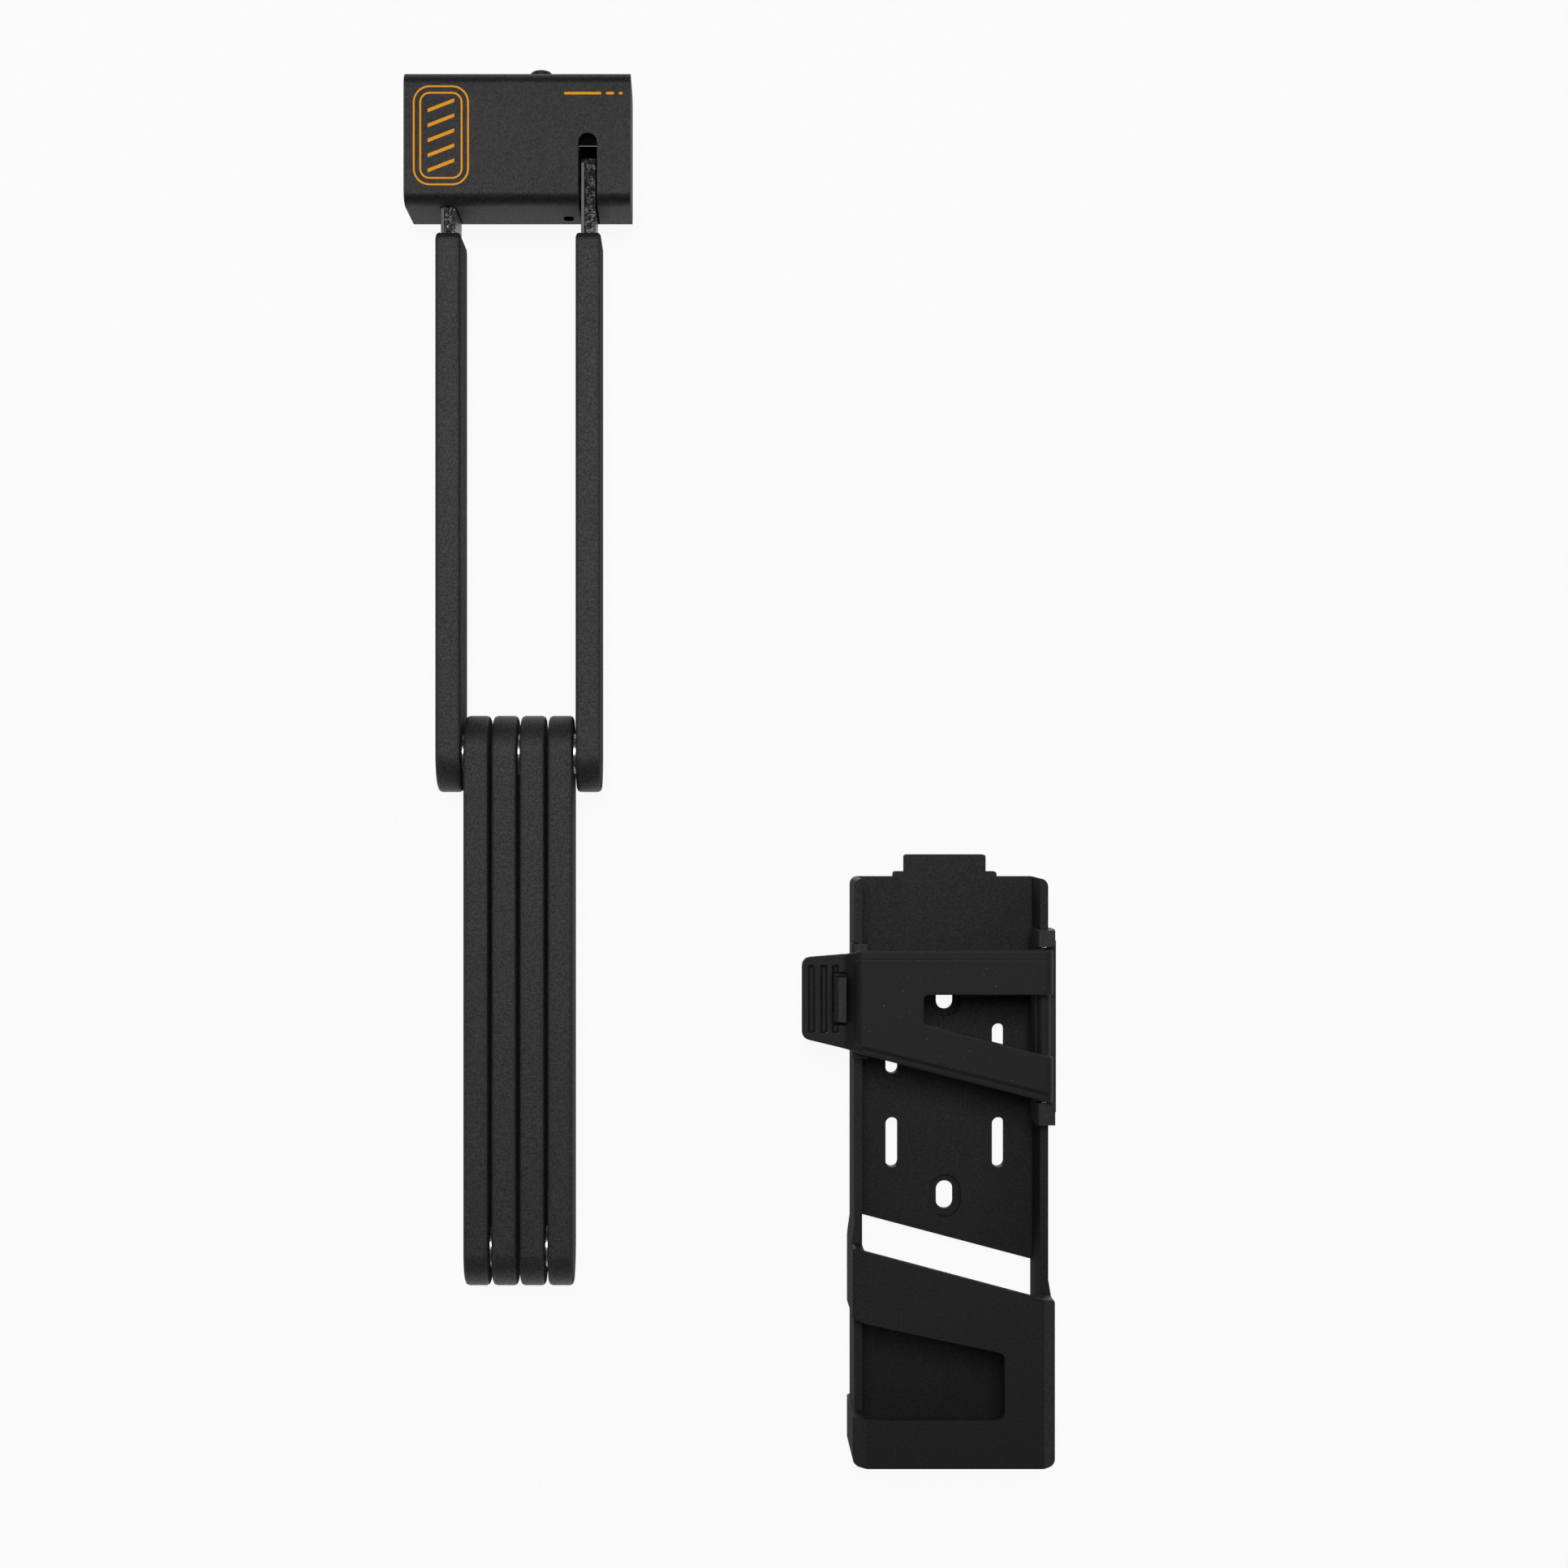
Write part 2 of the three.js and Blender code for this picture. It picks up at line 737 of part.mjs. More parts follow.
function slotAt(x, y, width, length, foot = trayBack - overrun) {
  const reach = (length - width) / 2;
  const turn = new THREE.Matrix4().makeBasis(unitY, unitX.clone().negate(), unitZ);
  const shape = stadium(-reach, reach, width / 2);
  return prism(shape, turn, foot, packBack + overrun).translate([x, y, 0]);
}

function bracketBody() {
  const inner = trayInnerHalf;
  const floorY = pocketFoot + pocketFloor;
  let solid = pocketSleeve().add(trayTub()).add(backTab());
  solid = solid.subtract(
    box(-inner, inner, floorY, trayTop + tabRise + overrun, packBack, pocketInnerFront),
  );
  const behind = outline([
    [-inner, backWindowTopLeft - backWindowHeight, windowRound],
    [inner, backWindowTopRight - backWindowHeight, windowRound],
    [inner, backWindowTopRight],
    [-inner, backWindowTopLeft],
  ]);
  solid = solid.subtract(prism(behind, alongZ, trayBack - overrun, packBack + overrun));
  for (const side of [-1, 1]) {
    const y = screwSlotCentre + (side * screwSlotSpacing) / 2;
    const tieY = y - side * tieSlotOffset;
    solid = solid.subtract(slotAt(0, y, screwSlotWidth, screwSlotLength));
    const seat = packBack - screwHeadDepth;
    solid = solid.subtract(slotAt(0, y, screwHeadWidth, screwHeadLength, seat));
    solid = solid.subtract(slotAt(-tieSlotOffset, tieY, tieSlotWidth, tieSlotLength));
    solid = solid.subtract(slotAt(tieSlotOffset, tieY, tieSlotWidth, tieSlotLength));
  }
  const legFoot = trayRim + clearance - clipLegDepth;
  const recess = box(
    -pocketHalfWidth - overrun, hookClipSink - trayHalfWidth,
    hookClipFoot - clearance, hookClipTop + clearance, legFoot - clearance, trayRim + overrun,
  );
  return solid.subtract(recess);
}

// A saddle's section over one side wall of the tray, with an inner and an outer leg;
// its outer leg may be sunk into a recess of the wall
function saddle(side, from, to, sink = 0) {
  const outerFace = trayHalfWidth + clearance - sink;
  const innerFace = trayInnerHalf - clearance;
  const rim = trayRim + clearance;
  const top = rim + clipBridge;
  const foot = rim - clipLegDepth;
  const points = [
    [foot, outerFace],
    [foot, outerFace + clipLeg],
    [top, outerFace + clipLeg, strapClipEdgeRound],
    [top, innerFace - clipLeg, strapClipEdgeRound / 2],
    [foot, innerFace - clipLeg],
    [foot, innerFace],
    [rim, innerFace],
    [rim, outerFace],
  ];
  const placed = points.map(([z, x, radius]) => [z, side * x, radius]);
  return prism(outline(side > 0 ? placed : placed.reverse()), alongY, from, to);
}

// The hook: a stalk on the saddle's outer leg that passes up through the strap's window
function hookClip() {
  const left = hookWindowLeft + clearance;
  const right = hookWindowRight - clearance;
  const foot = hookWindowFoot + hookMargin;
  const top = hookWindowTop - hookMargin;
  const armFoot = trayRim + clearance + clipBridge - clipLegDepth / 2;
  const armTop = trayRim + clearance + clipBridge;
  const hookTop = tabOuter() + hookHeight;
  const outerLeg = hookClipSink - trayHalfWidth - clearance;
  let solid = saddle(-1, hookClipFoot, hookClipTop, hookClipSink);
  const sillLeft = hookWindowLeft - hookSillMargin;
  const sillFoot = hookWindowFoot - hookSillMargin;
  const sillTop = hookWindowTop + hookSillMargin;
  solid = solid.add(box(sillLeft, outerLeg, sillFoot, sillTop, armFoot, armTop));
  const hook = outline([
    [armFoot, left],
    [hookTop - hookRib, left, hookRibDepth],
    [hookTop, left + hookRib, hookRibDepth],
    [hookTop, right, hookRibDepth],
    [armFoot, right],
  ].reverse());
  solid = solid.add(prism(hook, alongY, foot, top));
  const ribPitch = 2 * hookRib;
  for (let x = left + ribPitch; x + hookRib < right; x += ribPitch) {
    solid = solid.subtract(
      box(x, x + hookRib / 2, foot + hookRib, top - hookRib, hookTop - hookRibDepth, hookTop + overrun),
    );
  }
  return solid;
}

// The C-shaped clip on the right wall, whose two ends carry the strap's pin
function strapClip() {
  const outerFace = trayHalfWidth + clearance;
  const outerEdge = outerFace + clipLeg + clearance;
  const rim = trayRim + clearance;
  const cheekTop = barrelZ + strapBarrelRadius + clearance;
  const spineTop = barrelZ - strapBarrelRadius - clearance;
  const innerEdge = trayInnerHalf - clearance - clipLeg;
  const footTop = strapClipFoot + strapClipFootHeight;
  const headFoot = strapClipTop - strapClipHeadHeight;
  let solid = saddle(1, strapClipFoot, strapClipTop);
  const spine = outline([
    [rim - clipLegDepth, outerFace],
    [rim - clipLegDepth, outerEdge, clipLeg / 2],
    [spineTop, outerEdge, clipLeg / 2],
    [spineTop, outerFace],
  ]);
  const spineInset = strapClipFootHeight / 2;
  solid = solid.add(prism(spine, alongY, strapClipFoot + spineInset, strapClipTop - spineInset));
  const cheek = outline([
    [rim, innerEdge],
    [rim, outerFace + clipLeg / 2],
    [cheekTop, outerFace + clipLeg / 2],
    [cheekTop, innerEdge, strapClipEdgeRound],
  ]);
  solid = solid.add(prism(cheek, alongY, strapClipFoot, footTop));
  solid = solid.add(prism(cheek, alongY, headFoot, strapClipTop));
  const hole = strapPinRadius + clearance;
  const pinFoot = strapClipFoot + strapClipEdgeRound;
  const pinTop = strapClipTop + overrun;
  solid = solid.subtract(rod(alongY, barrelZ, barrelX, hole, pinFoot - clearance, pinTop));
  const barrelRoom = strapBarrelRadius + clearance;
  return solid.subtract(rod(alongY, barrelZ, barrelX, barrelRoom, footTop, headFoot));
}

function strapPin() {
  return rod(
    alongY, barrelZ, barrelX, strapPinRadius, strapClipFoot + strapClipEdgeRound, strapClipTop - clearance,
  );
}

// Heights of the strap's flat tab
function tabInner() {
  return strapInner - strapSlopeDrop;
}

function tabOuter() {
  return tabInner() + strapThickness;
}

// Strap section in Z and X: over the pack, down the left shoulder to the tab,
// and down the right side to its barrel
function strapSection(raise) {
  const outer = strapInner + strapThickness + raise;
  const slopeEnd = strapShoulder + strapSlopeRun;
  const rightOuter = barrelX + strapBarrelRadius;
  const rightInner = rightOuter - strapThickness;
  return outline([
    [tabInner(), -tabReach],
    [tabInner(), -slopeEnd, strapBendRound],
    [strapInner, -strapShoulder, strapBendRound],
    [strapInner, rightInner, strapBendRound / 2],
    [barrelZ, rightInner],
    [barrelZ, rightOuter],
    [outer, rightOuter, strapThickness],
    [outer, -strapShoulder, strapBendRound],
    [tabOuter() + raise, -slopeEnd, strapBendRound],
    [tabOuter() + raise, -tabReach],
  ].reverse());
}

function strapFace(border) {
  const rightEdge = barrelX + strapBarrelRadius + overrun;
  const lower = (x) => slant(strapFootLeft, strapFootRight, strapShoulder, x) + border;
  if (border) {
    return outline([
      [-strapShoulder - border / 2, lower(-strapShoulder), border / 2],
      [rightEdge, lower(rightEdge)],
      [rightEdge, strapTop - border],
      [-strapShoulder - border / 2, strapTop - border, border / 2],
    ]);
  }
  const neck = -trayHalfWidth - tabNeckLength;
  return outline([
    [-tabReach, strapTop - tabFootDrop, tabCornerRound],
    [neck, strapTop - tabNeckFootDrop],
    [-strapShoulder, lower(-strapShoulder)],
    [rightEdge, lower(rightEdge)],
    [rightEdge, strapTop],
    [-strapShoulder, strapTop - clearance],
    [neck, strapTop - tabNeckTopDrop],
    [-tabReach, strapTop - tabTopDrop, tabCornerRound],
  ]);
}

function strap() {
  const low = tabInner() - overrun;
  const high = strapInner + strapThickness + overrun;
  const layer = (raise, border) => {
    const band = prism(strapSection(raise), alongY, strapFootRight - overrun, strapTop + overrun);
    return band.intersect(prism(strapFace(border), alongZ, low, high));
  };
  let solid = layer(0, 0).add(layer(strapPanelRaise, strapPanelBorder));
  const barrelFoot = strapClipFoot + strapClipFootHeight + clearance;
  const barrelTop = strapClipTop - strapClipHeadHeight - clearance;
  const keepLow = box(
    -tabReach - overrun, trayHalfWidth + overrun, barrelFoot, barrelTop, low, high,
  );
  solid = solid.intersect(keepLow);
  const rightEdge = barrelX + strapBarrelRadius + overrun;
  const sill = (x) => slant(strapFootLeft, strapFootRight, strapShoulder, x) + lowerLegWidth;
  const window = outline([
    [strapWindowLeft, sill(strapWindowLeft), strapWindowRound],
    [rightEdge, sill(rightEdge)],
    [rightEdge, strapTop - upperLegWidth],
    [strapWindowLeft, strapTop - upperLegWidth, strapWindowRound],
  ]);
  solid = solid.subtract(prism(window, alongZ, low, high));
  solid = solid.add(rod(alongY, barrelZ, barrelX, strapBarrelRadius, barrelFoot, barrelTop));
  const hookWindow = rectangle(
    hookWindowLeft, hookWindowRight, hookWindowFoot, hookWindowTop, strapWindowRound / 2,
  );
  solid = solid.subtract(prism(hookWindow, alongZ, low, high));
  for (const out of [gripOuterOut, gripInnerOut, gripHookOut]) {
    const x = -trayHalfWidth - out;
    const groove = rectangle(
      x, x + gripWidth, strapTop - gripFootDrop, strapTop - gripTopDrop, gripWidth / 4,
    );
    solid = solid.subtract(prism(groove, alongZ, tabOuter() - gripDepth, high));
  }
  const pinHole = strapPinRadius + clearance;
  return solid.subtract(
    rod(alongY, barrelZ, barrelX, pinHole, barrelFoot - overrun, barrelTop + overrun),
  );
}

add(bracket, "bracket_body", bracketBody(), trayPlastic);
add(bracket, "hook_clip", hookClip(), clipPlastic);
add(bracket, "strap_clip", strapClip(), clipPlastic);
add(bracket, "strap_pin", strapPin(), brightSteel);
add(bracket, "strap", strap(), strapRubber);

// Lay both groups on the table, the bracket's foot the lower, and centre them
const clipEdge = trayHalfWidth + clearance + clipLeg + clearance;
const totalWidth = housingWidth + layGap + tabReach + clipEdge;
const packFoot = -rivetSpacing - sleeveEndRadius;
const totalHeight = housingTop + buttonHeight - packFoot + layDrop;
const footY = -totalHeight / 2;
lock.position.set(
  housingHalfWidth - totalWidth / 2,
  footY + layDrop - packFoot,
  housingHalfDepth,
);
bracket.position.set(
  totalWidth / 2 - clipEdge,
  footY - pocketFoot,
  -trayBack,
);

const foldingLock = new THREE.Group();
foldingLock.add(lock, bracket);

export default foldingLock;
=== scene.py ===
import json
import math

import bmesh
import bpy
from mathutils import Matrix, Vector


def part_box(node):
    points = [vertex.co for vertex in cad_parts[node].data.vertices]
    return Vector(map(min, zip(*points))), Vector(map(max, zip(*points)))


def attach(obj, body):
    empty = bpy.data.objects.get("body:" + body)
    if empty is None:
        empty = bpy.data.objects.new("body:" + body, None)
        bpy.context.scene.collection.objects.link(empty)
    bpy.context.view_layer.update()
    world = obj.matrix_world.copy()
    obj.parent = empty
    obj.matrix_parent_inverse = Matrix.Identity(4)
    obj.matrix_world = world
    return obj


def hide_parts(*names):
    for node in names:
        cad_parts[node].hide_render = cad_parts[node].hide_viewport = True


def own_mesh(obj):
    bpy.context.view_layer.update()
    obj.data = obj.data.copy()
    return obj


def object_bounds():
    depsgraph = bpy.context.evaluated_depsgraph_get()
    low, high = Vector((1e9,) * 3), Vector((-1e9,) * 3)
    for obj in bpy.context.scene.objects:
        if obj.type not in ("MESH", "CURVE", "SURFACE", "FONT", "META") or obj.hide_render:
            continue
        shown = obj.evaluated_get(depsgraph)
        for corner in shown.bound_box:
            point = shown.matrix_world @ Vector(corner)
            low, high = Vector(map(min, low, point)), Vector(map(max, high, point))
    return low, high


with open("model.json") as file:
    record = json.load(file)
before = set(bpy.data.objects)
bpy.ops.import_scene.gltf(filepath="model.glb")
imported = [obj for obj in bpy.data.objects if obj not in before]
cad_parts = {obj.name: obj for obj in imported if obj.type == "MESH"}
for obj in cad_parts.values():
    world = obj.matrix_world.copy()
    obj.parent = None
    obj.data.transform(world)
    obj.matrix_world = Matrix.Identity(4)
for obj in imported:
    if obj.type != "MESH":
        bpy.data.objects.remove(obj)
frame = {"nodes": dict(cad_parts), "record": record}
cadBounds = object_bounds()
mm = 0.001


# Shader arithmetic: a wire is one output socket in a graph of nodes
class Wire:
    def __init__(self, graph, socket):
        self.graph = graph
        self.socket = socket

    def __add__(self, other):
        return self.graph.maths("ADD", self, other)

    __radd__ = __add__

    def __sub__(self, other):
        return self.graph.maths("SUBTRACT", self, other)

    def __rsub__(self, other):
        return self.graph.maths("SUBTRACT", other, self)

    def __mul__(self, other):
        return self.graph.maths("MULTIPLY", self, other)

    __rmul__ = __mul__

    def __gt__(self, other):
        return self.graph.maths("GREATER_THAN", self, other)

    def __lt__(self, other):
        return self.graph.maths("LESS_THAN", self, other)

    def absolute(self):
        return self.graph.maths("ABSOLUTE", self)


# The nodes of one material or world
class Graph:
    def __init__(self, owner):
        owner.use_nodes = True
        self.owner = owner
        self.tree = owner.node_tree
        self.tree.nodes.clear()

    # One node: its settings are set first, then its sockets are valued or linked
    def node(self, kind, settings=None, inputs=None, output=0):
        made = self.tree.nodes.new(kind)
        for key, value in (settings or {}).items():
            if key == "stops":
                self.rampStops(made.color_ramp, value)
            else:
                setattr(made, key, value)
        for key, value in (inputs or {}).items():
            if isinstance(value, Wire):
                self.tree.links.new(value.socket, made.inputs[key])
            else:
                made.inputs[key].default_value = value
        return Wire(self, made.outputs[output]) if made.outputs else None

    def rampStops(self, ramp, stops):
        while len(ramp.elements) < len(stops):
            ramp.elements.new(0.5)
        for element, (place, tone) in zip(ramp.elements, stops):
            element.position = place
            element.color = (tone, tone, tone, 1)

    def maths(self, operation, first, second=None):
        inputs = {0: first} if second is None else {0: first, 1: second}
        return self.node("ShaderNodeMath", {"operation": operation}, inputs)

    # A Mix node's inputs 6 and 7 and its output 2 are its colours
    def blendColours(self, factor, first, second):
        wide = [(*c, 1) if isinstance(c, tuple) else c for c in (first, second)]
        return self.node(
            "ShaderNodeMix", {"data_type": "RGBA"}, {0: factor, 6: wide[0], 7: wide[1]}, output=2
        )

    def place(self, kind="Object"):
        return self.node("ShaderNodeTexCoord", output=kind)

    def part(self, vector, axis):
        return self.node("ShaderNodeSeparateXYZ", inputs={0: vector}, output=axis)

    def noise(self, scale, detail=2.0, roughness=0.5):
        return self.node(
            "ShaderNodeTexNoise",
            inputs={
                "Vector": self.place(), "Scale": scale, "Detail": detail, "Roughness": roughness,
            },
        )

    def ramp(self, value, stops):
        return self.node("ShaderNodeValToRGB", {"stops": stops}, {"Fac": value})

    # From 0 at the first end to 1 at the second
    def rise(self, value, ends):
        return self.ramp(value, [(ends[0], 0.0), (ends[1], 1.0)])

    def bump(self, height, distance):
        return self.node("ShaderNodeBump", inputs={"Height": height, "Distance": distance})

    def finish(self, **sockets):
        names = {key.replace("_", " "): value for key, value in sockets.items()}
        shader = self.node("ShaderNodeBsdfPrincipled", inputs=names)
        self.node("ShaderNodeOutputMaterial", inputs={"Surface": shader})
        return self.owner


def newMaterial(name):
    return Graph(bpy.data.materials.new(name))


# The rounded edges, which refined() marks in the mesh
def bevelled(graph):
    return graph.node("ShaderNodeAttribute", {"attribute_name": "edge"}, output="Fac")


edgeRubAndHighlight = {"detail": 3, "stops": [(0.35, 0.15), (0.7, 1.0)]}


# Stretches of the rounded edges painted lighter: rubbed wear, and a painted highlight along the
# edges
def edgeWearAndHighlight(graph, scale):
    patches = graph.noise(scale, edgeRubAndHighlight["detail"])
    return bevelled(graph) * graph.ramp(patches, edgeRubAndHighlight["stops"])


# Raised forms of a dense mesh, read from its curvature
def raised(graph, ends):
    return graph.rise(graph.node("ShaderNodeNewGeometry", output="Pointiness"), ends)


# How squarely a surface faces along an axis of the scene, from 0 to 1. Of the pieces that use it
# only the links turn. They turn about x and use x, so it is the same at every pose
def facing(graph, axis):
    return graph.part(graph.node("ShaderNodeNewGeometry", output="Normal"), axis).absolute()


# Tiny sparse specks, such as lint
def specks(graph, scale, size):
    cells = graph.node("ShaderNodeTexVoronoi", inputs={"Vector": graph.place(), "Scale": scale})
    return cells < size


# What the grained coats share: fine and coarse grain, mixed, and glossier where it is pale.
# In each look coarser, cloudier and dustier say how much larger than the grain a pattern is
coatGrain = {"detail": 3, "roughness": 0.7, "fineShare": 0.65, "ends": (0.41, 0.61), "gloss": 0.14}
# The worn tones, laid on the rounded edges, are rubbed wear and a painted highlight
housingLook = {
    "tone": (0.0008, 0.0007, 0.0009), "grainTone": (0.021, 0.0197, 0.0223),
    "wornAndLitTone": (0.12, 0.115, 0.12), "wearAndHighlight": 0.2, "wearAndHighlightScale": 130,
    "grain": 3100, "coarser": 2.2, "cloudier": 100, "bumpDepth": 0.00007, "gloss": 0.27,
    "roughness": 0.665, "cloudRoughness": 0.05,
    "axis": "Z", "axisEnds": (0.05, 0.4), "axisRoughness": -0.18,
}
plasticLook = {
    "wearAndHighlightScale": 160, "coarser": 2, "cloudier": 80, "cloudRoughness": 0.06,
    "axis": "X", "axisEnds": (0.6, 0.9), "axisRoughness": 0.5,
}
sleeveLook = {
    **plasticLook, "tone": (0.0005, 0.0005, 0.0005), "grainTone": (0.0265, 0.0261, 0.0257),
    "wornAndLitTone": (0.05, 0.05, 0.049), "wearAndHighlight": 0.35,
    "grain": 2800, "bumpDepth": 0.00013, "gloss": 0.46, "roughness": 0.52,
}
trayLook = {
    **plasticLook, "tone": (0.004, 0.004, 0.004), "grainTone": (0.0135, 0.0135, 0.0135),
    "wornAndLitTone": (0.036, 0.036, 0.036), "wearAndHighlight": 0.6,
    "grain": 2600, "bumpDepth": 0.00004, "gloss": 0.28, "roughness": 0.56,
}
clipLook = {
    **plasticLook, "tone": (0.005, 0.005, 0.005), "grainTone": (0.017, 0.017, 0.0167),
    "wornAndLitTone": (0.11, 0.11, 0.108), "wearAndHighlight": 0.9,
    "grain": 2600, "bumpDepth": 0.00006, "gloss": 0.4, "roughness": 0.5,
}


# Grained paint or plastic, lighter at its rounded edges with rubbed wear and a painted highlight.
# Faces along the look's axis differ in roughness
def grainedCoat(name, look):
    g = newMaterial(name)
    grain = g.noise(look["grain"], coatGrain["detail"], coatGrain["roughness"])
    coarse = g.noise(look["grain"] / look["coarser"])
    cloud = g.noise(look["grain"] / look["cloudier"])
    fineShare = coatGrain["fineShare"]
    spread = g.rise(grain * fineShare + coarse * (1 - fineShare), coatGrain["ends"])
    mottled = g.blendColours(spread, look["tone"], look["grainTone"])
    wearAndHighlight = edgeWearAndHighlight(g, look["wearAndHighlightScale"]) * look["wearAndHighlight"]
    along = g.rise(facing(g, look["axis"]), look["axisEnds"])
    patchy = cloud * look["cloudRoughness"] - spread * coatGrain["gloss"]
    return g.finish(
        Base_Color=g.blendColours(wearAndHighlight, mottled, look["wornAndLitTone"]),
        Roughness=patchy + along * look["axisRoughness"] + look["roughness"],
        Specular_IOR_Level=look["gloss"],
        Normal=g.bump(grain, look["bumpDepth"]),
    )


rubberLook = {
    "tone": (0.0045, 0.0039, 0.0042), "cloudTone": (0.0125, 0.011, 0.012),
    # The worn tone on raised forms is rubbed wear and a painted highlight
    "wornAndLitTone": (0.034, 0.032, 0.033), "wornAndLitEnds": (0.515, 0.57), "wearAndHighlight": 0.8,
    # The crease tone is painted shade in the hollows
    "paintedCreaseShade": (0.0006, 0.0005, 0.0005), "paintedCreaseShadeEnds": (0.44, 0.49),
    "dust": (0.26, 0.26, 0.25), "dustAbove": 0.42, "lint": [(240, 0.03), (620, 0.045)],
    "grain": 1800, "cloudier": 30, "cloudDetail": 4, "cloudSharpness": 0.6, "dustier": 60,
    "roughness": 0.54, "cloudRoughness": 0.12, "gloss": 0.3, "bumpDepth": 0.00003,
}


def dustyRubber(name, look):
    g = newMaterial(name)
    grain = g.noise(look["grain"])
    cloud = g.noise(look["grain"] / look["cloudier"], look["cloudDetail"], look["cloudSharpness"])
    base = g.blendColours(cloud, look["tone"], look["cloudTone"])
    # Raised forms paler: rubbed wear and a painted highlight
    base = g.blendColours(raised(g, look["wornAndLitEnds"]) * look["wearAndHighlight"], base, look["wornAndLitTone"])
    # Hollows darkened toward the crease tone: painted shade
    base = g.blendColours(raised(g, look["paintedCreaseShadeEnds"]), look["paintedCreaseShade"], base)
    dusty = g.noise(look["grain"] / look["dustier"], detail=1) > look["dustAbove"]
    coarseLint, fineLint = [specks(g, scale, size) for scale, size in look["lint"]]
    lint = g.maths("MAXIMUM", coarseLint, fineLint)
    return g.finish(
        Base_Color=g.blendColours(lint * dusty, base, look["dust"]),
        Roughness=look["roughness"] + cloud * look["cloudRoughness"],
        Specular_IOR_Level=look["gloss"],
        Normal=g.bump(grain, look["bumpDepth"]),
    )


tongueLook = {
    "tone": (0.016, 0.016, 0.021), "cutTone": (0.044, 0.044, 0.05), "glint": (0.6, 0.6, 0.62),
    "flatAbove": 0.5, "acrossEnds": (0.22, 0.34), "tornEnds": (0.4, 0.62),
    "glintEnds": (0.26, 0.33), "tear": 760, "tearDetail": 6, "tearSharpness": 0.7,
    "chips": 1500, "chipDetail": 3, "chipSharpness": 0.6, "roughness": 0.4,
    "glintGloss": 0.2, "glintMetal": 0.8, "bumpDepth": 0.0014, "flatBump": 0.04,
}


# Coated bar stock: smooth on its flats, and torn and glinting on most of its sheared edges
def cutSteel(name, look):
    g = newMaterial(name)
    across = g.part(g.place("Generated"), "X")
    edge = (facing(g, "X") < look["flatAbove"]) * g.rise(across, look["acrossEnds"])
    tear = g.noise(look["tear"], look["tearDetail"], look["tearSharpness"])
    chips = g.noise(look["chips"], look["chipDetail"], look["chipSharpness"])
    torn = g.rise(tear, look["tornEnds"]) * edge
    glint = g.rise(chips * tear, look["glintEnds"]) * edge
    coated = g.blendColours(torn, look["tone"], look["cutTone"])
    rough = edge * (1 - look["flatBump"]) + look["flatBump"]
    return g.finish(
        Base_Color=g.blendColours(glint, coated, look["glint"]),
        Roughness=look["roughness"] - glint * look["glintGloss"],
        Metallic=glint * look["glintMetal"],
        Normal=g.bump(tear * rough, look["bumpDepth"]),
    )


steelLook = {
    "tone": (0.86, 0.84, 0.81), "darkTone": (0.55, 0.53, 0.5), "bumpDepth": 0.00004,
    "grain": 1500, "detail": 4, "sharpness": 0.7, "roughness": 0.2, "grainRoughness": 0.16,
}


def turnedSteel(name, look):
    g = newMaterial(name)
    grain = g.noise(look["grain"], look["detail"], look["sharpness"])
    return g.finish(
        Base_Color=g.blendColours(grain, look["darkTone"], look["tone"]),
        Metallic=1.0,
        Roughness=look["roughness"] + grain * look["grainRoughness"],
        Normal=g.bump(grain, look["bumpDepth"]),
    )


# The edge tone is a painted highlight along the core's rounded edges
castLook = {
    "tone": (0.0006, 0.0006, 0.0006), "pale": (0.002, 0.002, 0.002), "edge": (0.4, 0.4, 0.4),
    "grain": 1400, "detail": 4, "sharpness": 0.6, "roughness": 0.6, "grainRoughness": 0.3,
    "gloss": 0.06, "bumpDepth": 0.0001,
}


# Nearly black cast metal, with a painted highlight on its rounded edges
def castMetal(name, look):
    g = newMaterial(name)
    grain = g.noise(look["grain"], look["detail"], look["sharpness"])
    dark = g.blendColours(grain, look["tone"], look["pale"])
    return g.finish(
        Base_Color=g.blendColours(bevelled(g), dark, look["edge"]),
        Roughness=look["roughness"] + grain * look["grainRoughness"],
        Specular_IOR_Level=look["gloss"],
        Normal=g.bump(grain, look["bumpDepth"]),
    )


amberLook = {
    "tone": (0.96, 0.36, 0.008), "pale": (1.0, 0.44, 0.02), "grain": 5000,
    "roughness": 0.5, "grainRoughness": 0.15, "gloss": 0.12,
}


def printedAmber(name, look):
    g = newMaterial(name)
    grain = g.noise(look["grain"])
    return g.finish(
        Base_Color=g.blendColours(grain, look["tone"], look["pale"]),
        Roughness=look["roughness"] + grain * look["grainRoughness"],
        Specular_IOR_Level=look["gloss"],
    )


materials = {
    "anodised": grainedCoat("anodised_paint", housingLook),
    "sleeve": grainedCoat("sleeve_plastic", sleeveLook),
    "tray": grainedCoat("tray_plastic", trayLook),
    "clip": grainedCoat("clip_plastic", clipLook),
    "strap_rubber": dustyRubber("dusty_rubber", rubberLook),
    "coated_steel": cutSteel("coated_bar_steel", tongueLook),
    "bright_steel": turnedSteel("turned_steel", steelLook),
    "cast_core": castMetal("cast_core_metal", castLook),
    "amber": printedAmber("amber_print", amberLook),
}
print("materials ready")


record = frame["record"]
slotOf = {row["node"]: row["material_slot"] for row in record["subparts"]}
bodyOf = {node: body for body, nodes in record["behaviour"]["bodies"].items() for node in nodes}
joints = {row["name"]: row for row in record["behaviour"]["joints"]}


def show(thing):
    bpy.context.scene.collection.objects.link(thing)


def dress(piece, slot):
    piece.data.materials.clear()
    piece.data.materials.append(materials[slot])


def newPiece(name, mesh, slot, body):
    piece = bpy.data.objects.new(name, mesh)
    show(piece)
    dress(piece, slot)
    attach(piece, body)
    return piece


